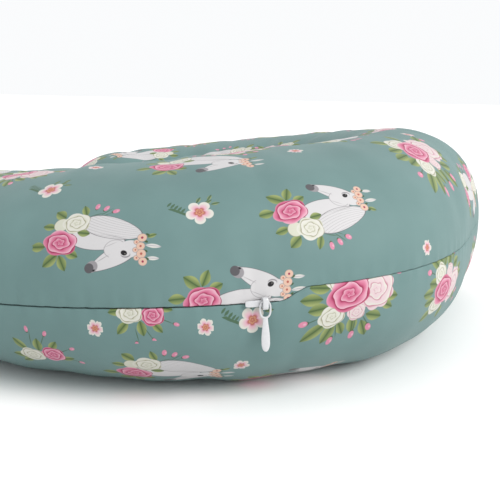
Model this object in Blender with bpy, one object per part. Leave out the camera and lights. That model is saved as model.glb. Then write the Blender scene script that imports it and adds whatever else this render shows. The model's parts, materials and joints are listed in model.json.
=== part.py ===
"""Nursing pillow: a C-shaped fibre cushion in a removable cover with a concealed zipper.

Metres, +Z up, lying on z = 0. The C opens towards +Y and its back is at -Y. Everything is drawn in
the seam frame, whose XY plane holds the seam round the outside. That frame is tilted, because the
back is thicker than the tips and both lie on the same surface.

Stations run along the middle line of the C, from the left tip round the back to the right tip. A
station's section is a superellipse, and each layer of cloth is the same section with an inset.
"""

import math
from collections import namedtuple

import bmesh
import bpy
from mathutils import Matrix, Vector

MM = 0.001

# The middle line: an arc round each arm, joined by a flatter arc round the back
ARM_X = 0.183
ARM_RADIUS = 0.148
JOIN_ANGLE = math.radians(46.4)
TAPER_ANGLE = math.radians(120)
TIP_ANGLE = math.radians(149)

# The section: half widths, and the rise of the crown above the seam plane. The inner side widens and
# narrows more slowly than the outer side, over the whole of the arm
BACK_HALF_WIDTH = 0.0625
ARM_HALF_WIDTH = 0.097
TIP_HALF_WIDTH = 0.067
INNER_FULL_ANGLE = math.radians(90)
INNER_TAPER_ANGLE = math.radians(100)
BACK_RISE = 0.084
TIP_RISE = 0.0645
ROUNDNESS = 2.15
UNDERSIDE_SHARE = 0.855
PRESSED_SHARE = 0.065
PRESS_BLEND = 1.0 * MM

# Round the back the sewn seam runs higher than the zipper: it climbs beside the zipper's closed end
# and comes down again on the way to the right arm
SEAM_LIFT = 7.0 * MM
SEAM_CLIMB = 19.0 * MM

# The layers of cloth
COVER_CLOTH = 1.0 * MM
SEAM_GAP = 0.15 * MM
SEAM_ALLOWANCE = 7.0 * MM
OVERLOCK_THICKNESS = 0.6 * MM
OVERLOCK_HALF_HEIGHT = 1.5 * MM
CASING_CLOTH = 0.8 * MM
CASING_EASE = 0.65 * MM
CROWN_EASE = 1.2 * MM
TOUCH_GAP = 0.35 * MM

# The zipper, along the left arm: angles round the arm's centre, from the back
SLIDER_ANGLE = math.radians(59.0)
OPEN_ANGLE = math.radians(120.5)
CLOTH_OVERHANG = 0.1 * MM
TAPE_THICKNESS = 0.45 * MM
TAPE_SECTION = 10
COIL_RADIUS = 1.0 * MM
COIL_SIDES = 6
STOP_LENGTH = 2.4 * MM
TAPE_OVERRUN = 1.5 * MM

# The slider: a channel behind the coils, a neck through the gap, and a crown outside
SLIDER_HALF_LENGTH = 6.5 * MM
NECK_HALF_THICKNESS = 0.35 * MM
NECK_CLEARANCE = 0.2 * MM
CHANNEL_CLEARANCE = 0.4 * MM
PLATE_THICKNESS = 0.8 * MM
FRONT_STANDOFF = 0.4 * MM
FRONT_HALF_HEIGHT = 1.9 * MM
CROWN_WIDTH = 3.6 * MM
CROWN_HALF_HEIGHT = 3.65 * MM
CROWN_BAR = 0.9 * MM
CROWN_CHAMFER = 0.75 * MM

# The pull: an oval ring through the crown, and a leaf that hangs from it
PULL_THICKNESS = 0.9 * MM
RING_BAR = 1.1 * MM
RING_DROP = 4.0 * MM
RING_CLEARANCE = 0.35 * MM
RING_SIDE_CLEARANCE = 0.67 * MM
RING_CORNER_SHARE = 0.9
RING_TOP_GAP = 0.6 * MM
LEAF_LENGTH = 19.0 * MM
LEAF_HALF_WIDTH = 2.5 * MM
LEAF_SETBACK = 0.3 * MM
PULL_NECK_HALF_WIDTH = 1.3 * MM

# Angles of the section's points, in degrees from the outer seam over the crown to the inner seam
SECTION = (0, 5, TAPE_SECTION, 27, 50, 76, 104, 130, 157, 180)

ARM_CENTRE_X = ARM_X - ARM_RADIUS
BACK_RADIUS = ARM_RADIUS + ARM_CENTRE_X / math.sin(JOIN_ANGLE)
BACK_CENTRE_Y = ARM_CENTRE_X / math.tan(JOIN_ANGLE)
ZIP_RADIUS = ARM_RADIUS + ARM_HALF_WIDTH

ZIP_HALF_GAP = NECK_HALF_THICKNESS + NECK_CLEARANCE
COIL_SLOT = ZIP_HALF_GAP + CLOTH_OVERHANG
TAPE_INSET = COVER_CLOTH + TOUCH_GAP
COIL_INSET = TAPE_INSET + TAPE_THICKNESS + TOUCH_GAP + COIL_RADIUS
CHANNEL_DEPTH = COIL_INSET + COIL_RADIUS + CHANNEL_CLEARANCE
CHANNEL_HALF_HEIGHT = COIL_SLOT + 2 * COIL_RADIUS + CHANNEL_CLEARANCE

# The casing clears the sewn edge and the slider, whichever reaches farther in
SEWN_EDGE = SEAM_ALLOWANCE + TOUCH_GAP + OVERLOCK_THICKNESS
CASING_SETBACK = max(SEWN_EDGE, CHANNEL_DEPTH + PLATE_THICKNESS) + CASING_EASE
CASING_DROP = COVER_CLOTH + CROWN_EASE

STATION_PARTS = "centre along out width inner_width rise lift forward share zipped"
Station = namedtuple("Station", STATION_PARTS)


def ease(share):
    """0 to 1 with level ends."""
    share = min(max(share, 0.0), 1.0)
    return share * share * (3 - 2 * share)


def zip_angle(distance, start=SLIDER_ANGLE):
    """The angle at a distance along the zipper from start, positive towards the open end."""
    return start + distance / ZIP_RADIUS


STOP_START = SLIDER_HALF_LENGTH + TOUCH_GAP
COIL_FROM = zip_angle(-SLIDER_HALF_LENGTH)
COIL_TO = OPEN_ANGLE
TAPE_FROM = zip_angle(-STOP_START - STOP_LENGTH - TAPE_OVERRUN)
TAPE_TO = zip_angle(TOUCH_GAP + STOP_LENGTH + TAPE_OVERRUN, OPEN_ANGLE)
ZIP_FROM = zip_angle(-3 * MM, TAPE_FROM)
ZIP_TO = zip_angle(3 * MM, TAPE_TO)


def half_width(turn, full=JOIN_ANGLE, taper=TAPER_ANGLE):
    """From the back's to the arm's up to the full angle, and to the tip's from the taper angle."""
    widened = ease(turn / full)
    tapered = ease((turn - taper) / (TIP_ANGLE - taper))
    width = BACK_HALF_WIDTH + (ARM_HALF_WIDTH - BACK_HALF_WIDTH) * widened
    return width + (TIP_HALF_WIDTH - ARM_HALF_WIDTH) * tapered


def middle_line(turn):
    """The point of the middle line where it faces out at this angle from -Y, on the right."""
    if turn < JOIN_ANGLE:
        return Vector((BACK_RADIUS * math.sin(turn), BACK_CENTRE_Y - BACK_RADIUS * math.cos(turn)))
    return Vector((ARM_CENTRE_X + ARM_RADIUS * math.sin(turn), -ARM_RADIUS * math.cos(turn)))


BACK_Y = middle_line(0).y
TIP_Y = middle_line(TIP_ANGLE).y
HEIGHT_SHARE = UNDERSIDE_SHARE * (1 - PRESSED_SHARE)
SEAM_TILT = math.atan(HEIGHT_SHARE * (TIP_RISE - BACK_RISE) / (TIP_Y - BACK_Y))


def rise_at(y):
    """The crown's rise falls evenly from the back to the tips."""
    return BACK_RISE + (TIP_RISE - BACK_RISE) * (y - BACK_Y) / (TIP_Y - BACK_Y)


def seam_lift(turn):
    """The seam's height above the seam plane: nothing at the zipper and the tips, most round the back."""
    if turn < 0:
        return SEAM_LIFT * ease((ZIP_FROM + turn) * ZIP_RADIUS / SEAM_CLIMB)
    return SEAM_LIFT * (1 - ease(turn / JOIN_ANGLE))


def station(turn, forward=0.0, share=1.0):
    """A section of the C at a signed angle, negative on the left. forward and share round a tip off."""
    side = -1 if turn < 0 else 1
    centre = middle_line(abs(turn))
    centre.x *= side
    out = Vector((math.sin(turn), -math.cos(turn)))
    along = Vector((math.cos(turn), math.sin(turn))) * side
    zipped = ZIP_FROM + 1e-6 < -turn < ZIP_TO - 1e-6
    width = half_width(abs(turn))
    inner_width = half_width(abs(turn), INNER_FULL_ANGLE, INNER_TAPER_ANGLE)
    rise, lift = rise_at(centre.y), seam_lift(turn)
    return Station(centre, along, out, width, inner_width, rise, lift, forward, share, zipped)


def spread(first, last, steps):
    return [first + (last - first) * i / steps for i in range(steps)]


def all_stations():
    """From the left tip's end round to the right tip's end, closest together along the zipper."""
    marks = [
        (-TIP_ANGLE, 5),
        (-ZIP_TO, 1),
        (-TAPE_TO, 1),
        (-COIL_TO, 20),
        (-COIL_FROM, 1),
        (-TAPE_FROM, 1),
        (-ZIP_FROM, 3),
        (SEAM_CLIMB / ZIP_RADIUS - ZIP_FROM, 1),
        (-JOIN_ANGLE, 6),
        (0.0, 6),
        (JOIN_ANGLE, 14),
    ]
    turns = []
    for (angle, steps), (following, _) in zip(marks, marks[1:] + [(TIP_ANGLE, 0)]):
        turns += spread(angle, following, steps)
    turns.append(TIP_ANGLE)
    cap = [(math.sin(math.radians(a)), math.cos(math.radians(a))) for a in (16, 34, 52, 70)]
    cap.append((1.0, 0.0))
    left = [station(-TIP_ANGLE, forward, share) for forward, share in reversed(cap)]
    right = [station(TIP_ANGLE, forward, share) for forward, share in cap]
    return left + [station(turn) for turn in turns] + right


STATIONS = all_stations()


def between(first, last):
    """The stations of the left arm from one zipper angle to another."""
    keep = []
    for place in STATIONS:
        turn = math.atan2(-place.out.x, -place.out.y)
        if place.share == 1.0 and first - 1e-6 < turn < last + 1e-6:
            keep.append(place)
    return keep


def power(value):
    return math.copysign(abs(value) ** (2 / ROUNDNESS), value)


def layer_point(place, degrees, inset=0.0, base=0.0, drop=0.0, side=1):
    """A point of the section in the seam frame. inset draws the outline in, and drop lowers the crown."""
    reach = power(math.cos(math.radians(degrees)))
    height = power(math.sin(math.radians(degrees)))
    width = (place.width if reach >= 0 else place.inner_width) - inset
    flat = place.centre + place.along * width * place.forward + place.out * width * place.share * reach
    rise = place.rise * (1 if side > 0 else UNDERSIDE_SHARE) - side * place.lift
    return Vector((flat.x, flat.y, place.lift + side * (base + (rise - drop) * place.share * height)))


def seam_to_world():
    """The seam frame, tilted, raised so that the underside is pressed on z = 0, and centred on Y."""
    edge_y = [layer_point(place, 0).y for place in STATIONS]
    middle = (min(edge_y) + max(edge_y)) / 2 * math.cos(SEAM_TILT)
    height = HEIGHT_SHARE * rise_at(0)
    return Matrix.Translation((0, -middle, height)) @ Matrix.Rotation(SEAM_TILT, 4, "X")


SEAM_FRAME = seam_to_world()


def settle(point, floor=0.0):
    """Presses a point of the seam frame flat where it would pass the floor, with a short blend."""
    world = SEAM_FRAME @ point
    above = world.z - floor
    if above < -PRESS_BLEND:
        above = 0.0
    elif above < PRESS_BLEND:
        above = (above + PRESS_BLEND) ** 2 / (4 * PRESS_BLEND)
    world.z = floor + above
    return world


def material(name, colour, roughness, metallic=0.0):
    made = bpy.data.materials.new(name)
    made.use_nodes = True
    surface = made.node_tree.nodes["Principled BSDF"]
    surface.inputs["Base Color"].default_value = (*colour, 1)
    surface.inputs["Roughness"].default_value = roughness
    surface.inputs["Metallic"].default_value = metallic
    return made


def add_object(name, bm, look, parent=None, matrix=None):
    bmesh.ops.remove_doubles(bm, verts=bm.verts, dist=1e-6)
    bmesh.ops.dissolve_degenerate(bm, dist=1e-7, edges=bm.edges)
    bmesh.ops.recalc_face_normals(bm, faces=bm.faces)
    mesh = bpy.data.meshes.new(name)
    bm.to_mesh(mesh)
    bm.free()
    mesh.shade_smooth()
    mesh.set_sharp_from_angle(angle=math.radians(40))
    mesh.materials.append(look)
    made = bpy.data.objects.new(name, mesh)
    bpy.context.scene.collection.objects.link(made)
    made.parent = parent
    if matrix is not None:
        made.matrix_local = matrix
    return made


def add_empty(name, matrix, parent=None):
    made = bpy.data.objects.new(name, None)
    made.empty_display_size = 0.02
    bpy.context.scene.collection.objects.link(made)
    made.parent = parent
    made.matrix_local = matrix
    return made


def add_split_quad(bm, a, b, c, d, middle):
    """Two triangles, on the diagonal farther from the middle, so that nested layers bend alike."""
    first = ((a.co + c.co) / 2 - middle).length
    second = ((b.co + d.co) / 2 - middle).length
    if first >= second:
        bm.faces.new((a, b, c))
        bm.faces.new((a, c, d))
    else:
        bm.faces.new((a, b, d))
        bm.faces.new((b, c, d))


def loft(rings):
    """Joins closed rings of points into a skin, with a face over each end that isn't a point or a line."""
    bm = bmesh.new()
    rows = [[bm.verts.new(point) for point in ring] for ring in rings]
    for row, following in zip(rows, rows[1:]):
        middle = sum((corner.co for corner in row + following), Vector()) / (2 * len(row))
        for i, corner in enumerate(row):
            j = (i + 1) % len(row)
            add_split_quad(bm, corner, row[j], following[j], following[i], middle)
    for row in (rows[0], rows[-1]):
        if len({tuple(round(c, 6) for c in corner.co) for corner in row}) > len(row) // 2 + 1:
            bm.faces.new(row)
    return bm


def extrude_outline(outline, depth, axes):
    """A prism: outline is in the plane of the first two axes, and depth is its span on the third."""
    bm = bmesh.new()
    rows = []
    for level in depth:
        row = []
        for a, b in outline:
            point = Vector((0, 0, 0))
            point[axes[0]], point[axes[1]], point[axes[2]] = a, b, level
            row.append(bm.verts.new(point))
        rows.append(row)
    for i in range(len(outline)):
        j = (i + 1) % len(outline)
        bm.faces.new((rows[0][i], rows[0][j], rows[1][j], rows[1][i]))
    bm.faces.new(rows[0])
    bm.faces.new(rows[1])
    return bm


def box(low, high):
    outline = [(low[0], low[1]), (high[0], low[1]), (high[0], high[1]), (low[0], high[1])]
    return extrude_outline(outline, (low[2], high[2]), (0, 1, 2))


def cover_ring(place, side):
    """Outside of the cloth, the turned-in allowance at the inner seam, its inside, and the outer seam's."""
    gap = ZIP_HALF_GAP if place.zipped else SEAM_GAP
    lining = gap + COVER_CLOTH
    outside = [layer_point(place, a, 0, gap, 0, side) for a in SECTION]
    inside = [layer_point(place, a, COVER_CLOTH, lining, 2 * COVER_CLOTH, side) for a in reversed(SECTION)]
    inner = [layer_point(place, 180, SEAM_ALLOWANCE, base, 0, side) for base in (gap, lining)]
    if place.zipped:
        outer = [layer_point(place, 0, COVER_CLOTH, gap + share * COVER_CLOTH, 0, side) for share in (0.5, 0)]
    else:
        outer = [layer_point(place, 0, SEAM_ALLOWANCE, base, 0, side) for base in (lining, gap)]
    outside_world = [settle(point) for point in outside]
    return outside_world + [settle(point, COVER_CLOTH) for point in inner + inside + outer]


def add_cover_panel(name, side, look):
    return add_object(name, loft([cover_ring(place, side) for place in STATIONS]), look)


CASING_FLOOR = COVER_CLOTH + TOUCH_GAP
FILL_FLOOR = CASING_FLOOR + CASING_CLOTH + TOUCH_GAP


def casing_ring(place, side):
    lining = SEAM_GAP + CASING_CLOTH
    outside = [layer_point(place, a, CASING_SETBACK, SEAM_GAP, CASING_DROP, side) for a in SECTION]
    inset = CASING_SETBACK + CASING_CLOTH
    drop = CASING_DROP + 2 * CASING_CLOTH
    inside = [layer_point(place, a, inset, lining, drop, side) for a in reversed(SECTION)]
    ring = [settle(point, CASING_FLOOR) for point in outside]
    return ring + [settle(point, CASING_FLOOR + CASING_CLOTH) for point in inside]


def add_casing_panel(name, side, look):
    return add_object(name, loft([casing_ring(place, side) for place in STATIONS]), look)


def add_fill(look):
    inset = CASING_SETBACK + CASING_CLOTH + TOUCH_GAP
    drop = CASING_DROP + CASING_CLOTH + TOUCH_GAP
    rings = []
    for place in STATIONS:
        over = [layer_point(place, a, inset, 0, drop, 1) for a in SECTION]
        under = [layer_point(place, a, inset, 0, drop, -1) for a in reversed(SECTION[1:-1])]
        rings.append([settle(point, FILL_FLOOR) for point in over + under])
    return add_object("fibre_fill", loft(rings), look)


def add_overlock(look):
    """The thread band round the raw edges, from the zipper's closed end all the way to its open end."""
    plain = [i for i, place in enumerate(STATIONS) if place.zipped]
    before, after = STATIONS[: plain[0]], STATIONS[plain[-1] + 1 :]
    path = [(place, 0) for place in after] + [(place, 180) for place in reversed(STATIONS)]
    path += [(place, 0) for place in before]
    corners = []
    for reach, height in ((0, -1), (1, -1), (1, 1), (0, 1)):
        inset = SEAM_ALLOWANCE + TOUCH_GAP + reach * OVERLOCK_THICKNESS
        corners.append((inset, height * OVERLOCK_HALF_HEIGHT))
    rings = []
    for place, degrees in path:
        ring = [layer_point(place, degrees, inset) + Vector((0, 0, height)) for inset, height in corners]
        if not rings or (ring[0] - rings[-1][0]).length > 1e-5:
            rings.append(ring)
    return add_object("seam_overlock", loft(rings), look, seam_frame)


def add_tape(name, side, look):
    rings = []
    reach = [a for a in SECTION if a <= TAPE_SECTION]
    for place in between(TAPE_FROM, TAPE_TO):
        front = [layer_point(place, a, TAPE_INSET, COIL_SLOT, 0, side) for a in reach]
        back_inset = TAPE_INSET + TAPE_THICKNESS
        back = [layer_point(place, a, back_inset, COIL_SLOT, 0, side) for a in reversed(reach)]
        rings.append(front + back)
    return add_object(name, loft(rings), look, seam_frame)


def add_coil(name, side, look):
    """The coil as its outer envelope, a rod behind the tape's edge."""
    rings = []
    for place in between(COIL_FROM, COIL_TO):
        ring = []
        for i in range(COIL_SIDES):
            turn = math.tau * i / COIL_SIDES
            inset = COIL_INSET + COIL_RADIUS * math.cos(turn)
            height = side * (COIL_SLOT + COIL_RADIUS * (1 + math.sin(turn)))
            ring.append(layer_point(place, 0, inset) + Vector((0, 0, height)))
        rings.append(ring)
    return add_object(name, loft(rings), look, seam_frame)


def zip_place(angle, inset=0.0):
    """A frame on the zipper: X along it to the open end, Y outward and Z up the seam frame."""
    outward = Vector((-math.sin(angle), -math.cos(angle), 0))
    turn = Matrix.Rotation(math.pi - angle, 4, "Z")
    return Matrix.Translation(outward * (ZIP_RADIUS - inset)) @ turn


def add_stop(name, angle, low, high, look):
    """A block across the coils, just behind the tapes."""
    depth = COIL_RADIUS
    low_corner = (-STOP_LENGTH / 2, -depth, low)
    high_corner = (STOP_LENGTH / 2, depth, high)
    place = arm_centre_matrix() @ zip_place(angle, COIL_INSET)
    return add_object(name, box(low_corner, high_corner), look, seam_frame, place)


def arm_centre_matrix():
    return Matrix.Translation((-ARM_CENTRE_X, 0, 0))


def combine(base, helper, operation):
    """Adds a helper's shape to the base or cuts it away, with a Boolean."""
    helper.hide_render = True
    helper.display_type = "WIRE"
    boolean = base.modifiers.new(helper.name, "BOOLEAN")
    boolean.operation = operation
    boolean.solver = "EXACT"
    boolean.object = helper


FRONT_FACE = FRONT_STANDOFF + PLATE_THICKNESS
CROWN_WINDOW = 2 * RING_CLEARANCE + math.hypot(PULL_THICKNESS, RING_BAR)
CROWN_TOP = FRONT_FACE + CROWN_WINDOW + CROWN_BAR
RING_HOLE_HALF = CROWN_WIDTH / 2 + RING_SIDE_CLEARANCE
RING_CORNER = RING_CORNER_SHARE * RING_SIDE_CLEARANCE
PULL_AXIS_HEIGHT = CROWN_HALF_HEIGHT - CROWN_BAR - RING_TOP_GAP - RING_BAR / 2
RING_HOLE_LENGTH = PULL_AXIS_HEIGHT - RING_BAR / 2 + CROWN_HALF_HEIGHT + RING_DROP
RING_LENGTH = RING_HOLE_LENGTH + 2 * RING_BAR
CROWN_X = -SLIDER_HALF_LENGTH + CROWN_WIDTH / 2
PULL_AXIS_Y = FRONT_FACE + CROWN_WINDOW / 2


def slider_section():
    """Half of the section through the channel, the neck and the front plate, as (outward, up)."""
    back = -CHANNEL_DEPTH
    hook = -(TAPE_INSET + TAPE_THICKNESS + CHANNEL_CLEARANCE)
    outer = CHANNEL_HALF_HEIGHT + PLATE_THICKNESS
    return [
        (FRONT_FACE, FRONT_HALF_HEIGHT),
        (FRONT_STANDOFF, FRONT_HALF_HEIGHT),
        (FRONT_STANDOFF, NECK_HALF_THICKNESS),
        (back, NECK_HALF_THICKNESS),
        (back, CHANNEL_HALF_HEIGHT),
        (hook, CHANNEL_HALF_HEIGHT),
        (hook, outer),
        (back - PLATE_THICKNESS, outer),
    ]


def add_slider(pivot, look):
    half = slider_section()
    outline = half + [(out, -up) for out, up in reversed(half)]
    span = (-SLIDER_HALF_LENGTH, SLIDER_HALF_LENGTH)
    place = zip_place(SLIDER_ANGLE)
    slider = add_object("slider_body", extrude_outline(outline, span, (1, 2, 0)), look, pivot, place)

    # The crown: a foot on the front plate, and an arch over the pull's ring
    left, right = CROWN_X - CROWN_WIDTH / 2, CROWN_X + CROWN_WIDTH / 2
    foot = box((left, FRONT_STANDOFF, -CROWN_HALF_HEIGHT), (right, FRONT_FACE, CROWN_HALF_HEIGHT))
    combine(slider, add_object("crown_foot", foot, look, pivot, place), "UNION")
    base = FRONT_FACE - PLATE_THICKNESS / 2
    corner = CROWN_HALF_HEIGHT - CROWN_CHAMFER
    legs = CROWN_HALF_HEIGHT - CROWN_BAR
    half_arch = [
        (base, legs),
        (base, CROWN_HALF_HEIGHT),
        (CROWN_TOP - CROWN_CHAMFER, CROWN_HALF_HEIGHT),
        (CROWN_TOP, corner),
    ]
    inside = [(CROWN_TOP - CROWN_BAR, -legs), (CROWN_TOP - CROWN_BAR, legs)]
    arch = half_arch + [(out, -up) for out, up in reversed(half_arch)] + inside
    crown = extrude_outline(arch, (left, right), (1, 2, 0))
    combine(slider, add_object("crown_arch", crown, look, pivot, place), "UNION")
    return slider


def pull_outline():
    """The outside of the ring and the leaf, round from the top, in the pull's own X and Z."""
    ring_half = RING_HOLE_HALF + RING_BAR
    top = RING_BAR / 2
    ring_middle = top - RING_LENGTH / 2
    leaf_top = top - RING_LENGTH
    right = []
    for step in range(8):
        turn = math.radians(90 - 20 * step)
        flat = power(math.cos(turn))
        tall = power(math.sin(turn))
        right.append((ring_half * flat, ring_middle + RING_LENGTH / 2 * tall))
    for step in range(9):
        share = step / 8
        swell = math.sin(math.pi * share ** 1.25) ** 0.9 if 0 < share < 1 else 0.0
        narrow = PULL_NECK_HALF_WIDTH * (1 - share) ** 0.7
        width = max(narrow, narrow * 0.4 + (LEAF_HALF_WIDTH - 0.4 * narrow) * swell)
        right.append((width, leaf_top - LEAF_SETBACK - LEAF_LENGTH * share))
    right = [(x, z) for x, z in right if x > 1e-6]
    tip = (0.0, leaf_top - LEAF_SETBACK - LEAF_LENGTH)
    return [(0.0, top)] + right + [tip] + [(-x, z) for x, z in reversed(right)]


def add_pull(pivot, look):
    depth = (-PULL_THICKNESS / 2, PULL_THICKNESS / 2)
    pull = add_object("pull_tab", extrude_outline(pull_outline(), depth, (0, 2, 1)), look, pivot)
    hole = []
    for step in range(16):
        quadrant = math.radians(90 * (step // 4))
        turn = quadrant + math.radians(30 * (step % 4))
        side = math.copysign(1, math.cos(quadrant + math.pi / 4))
        level = math.copysign(1, math.sin(quadrant + math.pi / 4))
        across = side * (RING_HOLE_HALF - RING_CORNER) + RING_CORNER * math.cos(turn)
        down = level * (RING_HOLE_LENGTH / 2 - RING_CORNER) + RING_CORNER * math.sin(turn)
        hole.append((across, down - RING_BAR / 2 - RING_HOLE_LENGTH / 2))
    through = (-PULL_THICKNESS, PULL_THICKNESS)
    combine(pull, add_object("ring_hole", extrude_outline(hole, through, (0, 2, 1)), look, pivot), "DIFFERENCE")
    return pull


for old in list(bpy.data.objects):
    bpy.data.objects.remove(old, do_unlink=True)

PRINT_CLOTH = material("printed_cover_cloth", (0.188, 0.323, 0.314), 0.85)
OVERLOCK_THREAD = material("overlock_thread", (0.35, 0.50, 0.49), 0.8)
ZIP_TAPE = material("zipper_tape", (0.62, 0.64, 0.64), 0.8)
COIL_NYLON = material("coil_nylon", (0.70, 0.71, 0.72), 0.45)
SLIDER_WHITE = material("slider_white_enamel", (0.75, 0.75, 0.77), 0.35)
CASING_CLOTH_WHITE = material("casing_cloth", (0.80, 0.80, 0.78), 0.9)
FIBRE = material("polyester_fibre", (0.85, 0.85, 0.84), 0.95)

seam_frame = add_empty("seam_frame", SEAM_FRAME)
slider_pivot = add_empty("slider_pivot", arm_centre_matrix(), seam_frame)

add_cover_panel("cover_top_panel", 1, PRINT_CLOTH)
add_cover_panel("cover_bottom_panel", -1, PRINT_CLOTH)
add_overlock(OVERLOCK_THREAD)
add_casing_panel("casing_top_panel", 1, CASING_CLOTH_WHITE)
add_casing_panel("casing_bottom_panel", -1, CASING_CLOTH_WHITE)
add_fill(FIBRE)

add_tape("zipper_tape_upper", 1, ZIP_TAPE)
add_tape("zipper_tape_lower", -1, ZIP_TAPE)
add_coil("zipper_coil_upper", 1, COIL_NYLON)
add_coil("zipper_coil_lower", -1, COIL_NYLON)
closed_stop = zip_angle(-STOP_START - STOP_LENGTH / 2)
open_stop = zip_angle(TOUCH_GAP + STOP_LENGTH / 2, OPEN_ANGLE)
stop_reach = COIL_SLOT + 2 * COIL_RADIUS
add_stop("top_stop_upper", closed_stop, COIL_SLOT, stop_reach, COIL_NYLON)
add_stop("top_stop_lower", closed_stop, -stop_reach, -COIL_SLOT, COIL_NYLON)
add_stop("bottom_stop", open_stop, -stop_reach, stop_reach, COIL_NYLON)

slider_body = add_slider(slider_pivot, SLIDER_WHITE)
slider_axes = SEAM_FRAME @ arm_centre_matrix() @ zip_place(SLIDER_ANGLE)
plumb = math.atan2(-slider_axes.col[1].z, slider_axes.col[2].z)
pull_place = Matrix.Translation((CROWN_X, PULL_AXIS_Y, PULL_AXIS_HEIGHT)) @ Matrix.Rotation(plumb, 4, "X")
pull_pivot = add_empty("pull_pivot", pull_place, slider_body)
add_pull(pull_pivot, SLIDER_WHITE)
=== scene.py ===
"""Nursing pillow: the looks. Metres, +Z up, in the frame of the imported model.

The pillow is a C-shaped cushion in a printed cover of two panels. They are sewn together along both
edges, except along the outside of the left arm, where a concealed zipper joins them.
"""

import json
import math

import bmesh
import bpy
import numpy as np
from mathutils import Matrix, Vector


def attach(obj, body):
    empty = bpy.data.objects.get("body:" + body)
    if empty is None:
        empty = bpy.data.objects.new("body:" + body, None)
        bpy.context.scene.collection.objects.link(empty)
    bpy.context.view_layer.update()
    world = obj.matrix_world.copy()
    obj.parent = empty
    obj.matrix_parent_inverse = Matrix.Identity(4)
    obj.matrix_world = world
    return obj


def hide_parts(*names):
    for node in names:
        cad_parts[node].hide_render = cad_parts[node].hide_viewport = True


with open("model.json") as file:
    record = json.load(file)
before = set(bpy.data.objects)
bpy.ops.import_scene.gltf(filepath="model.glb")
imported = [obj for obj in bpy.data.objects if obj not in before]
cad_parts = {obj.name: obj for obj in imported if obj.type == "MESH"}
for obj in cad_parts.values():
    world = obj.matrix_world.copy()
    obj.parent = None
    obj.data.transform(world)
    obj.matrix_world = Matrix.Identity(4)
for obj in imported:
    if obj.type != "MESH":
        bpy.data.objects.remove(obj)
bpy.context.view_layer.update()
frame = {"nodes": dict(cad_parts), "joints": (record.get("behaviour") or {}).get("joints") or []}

MM = 0.001


# The place: a pale floor with no edge in sight, in an even white studio. One wide soft key light comes
# from behind the back of the C, and the view looks at the zipper from low down.
FLOOR_HALF = 9
KEY_FROM = Vector((-0.10, -0.88, 0.66))
VIEW_TURN = math.radians(-69.28)
VIEW_RISE = math.radians(13.8)
VIEW_ROLL = math.radians(0.82)
VIEW_DISTANCE = 0.7805
AIM = Vector((0.0, 0.0159, 0.0))

towards = Vector((math.sin(VIEW_TURN) * math.cos(VIEW_RISE),
                  -math.cos(VIEW_TURN) * math.cos(VIEW_RISE), math.sin(VIEW_RISE)))
level = Vector((math.cos(VIEW_TURN), math.sin(VIEW_TURN), 0))
upright = towards.cross(level)
across = level * math.cos(VIEW_ROLL) + upright * math.sin(VIEW_ROLL)
upward = towards.cross(across)
lens = bpy.data.cameras.new("view")
lens.lens = 63.52
lens.sensor_width = 36
lens.shift_x = 0.0976
lens.shift_y = 0.0982
lens.clip_start = 0.01
camera = bpy.data.objects.new("view", lens)
camera.matrix_world = Matrix((across, upward, towards)).transposed().to_4x4()
camera.matrix_world.translation = AIM + towards * VIEW_DISTANCE
bpy.context.scene.collection.objects.link(camera)
bpy.context.scene.camera = camera

key = bpy.data.lights.new("key_light", "SUN")
key.energy = 2.3
key.angle = math.radians(38)
key.color = (1.0, 0.99, 0.97)
key_lamp = bpy.data.objects.new("key_light", key)
key_lamp.rotation_euler = KEY_FROM.to_track_quat("Z", "Y").to_euler()
bpy.context.scene.collection.objects.link(key_lamp)

world = bpy.data.worlds.new("studio")
world.use_nodes = True
bpy.context.scene.world = world
studio = world.node_tree.nodes["Background"]
studio.inputs["Color"].default_value = (0.96, 0.97, 0.98, 1)
studio.inputs["Strength"].default_value = 1.0

floor_mesh = bpy.data.meshes.new("floor")
floor_corners = [(x * FLOOR_HALF, y * FLOOR_HALF, 0) for x, y in ((-1, -1), (1, -1), (1, 1), (-1, 1))]
floor_mesh.from_pydata(floor_corners, [], [(0, 1, 2, 3)])
floor = bpy.data.objects.new("floor", floor_mesh)
bpy.context.scene.collection.objects.link(floor)
floor_paint = bpy.data.materials.new("pale_floor")
floor_paint.use_nodes = True
paper = floor_paint.node_tree.nodes["Principled BSDF"]
paper.inputs["Base Color"].default_value = (0.90, 0.90, 0.90, 1)
paper.inputs["Roughness"].default_value = 0.9
paper.inputs["Specular IOR Level"].default_value = 0.1
floor_mesh.materials.append(floor_paint)
bpy.context.scene.view_settings.view_transform = "Standard"


# The cover's two panels: printed polyester microfibre, cut as two Cs and sewn edge to edge with the
# allowance turned in. The filling rounds them out, and the floor presses the underside flat.
ARM_X = 0.183
ARM_RADIUS = 0.148
JOIN_ANGLE = math.radians(46.4)
TAPER_ANGLE = math.radians(120)
TIP_ANGLE = math.radians(149)
INNER_FULL_ANGLE = math.radians(90)
INNER_TAPER_ANGLE = math.radians(100)
BACK_HALF_WIDTH, ARM_HALF_WIDTH, TIP_HALF_WIDTH = 0.0625, 0.097, 0.067
BACK_RISE, TIP_RISE = 0.084, 0.0645
UNDERSIDE_SHARE = 0.855
ROUNDING = 2 / 2.15
PRESS_BLEND = 1.0 * MM
SEAM_LIFT = 7.0 * MM
SEAM_CLIMB = 19.0 * MM
SEAM_ALLOWANCE = 7.0 * MM
CLOTH = 1.0 * MM
SEAM_ROLL = 0.75 * MM
SEWN_GAP = 0.10 * MM
ZIP_GAP = 0.32 * MM
ZIP_GAP_CLIMB = 3 * MM
ZIP_CLOSED_ANGLE = math.radians(55.8)
ZIP_OPEN_ANGLE = math.radians(122.2)
SLIDER_ANGLE = math.radians(59.0)
EDGE_COLUMNS = 6
SKIN_COLUMNS = 106

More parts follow.
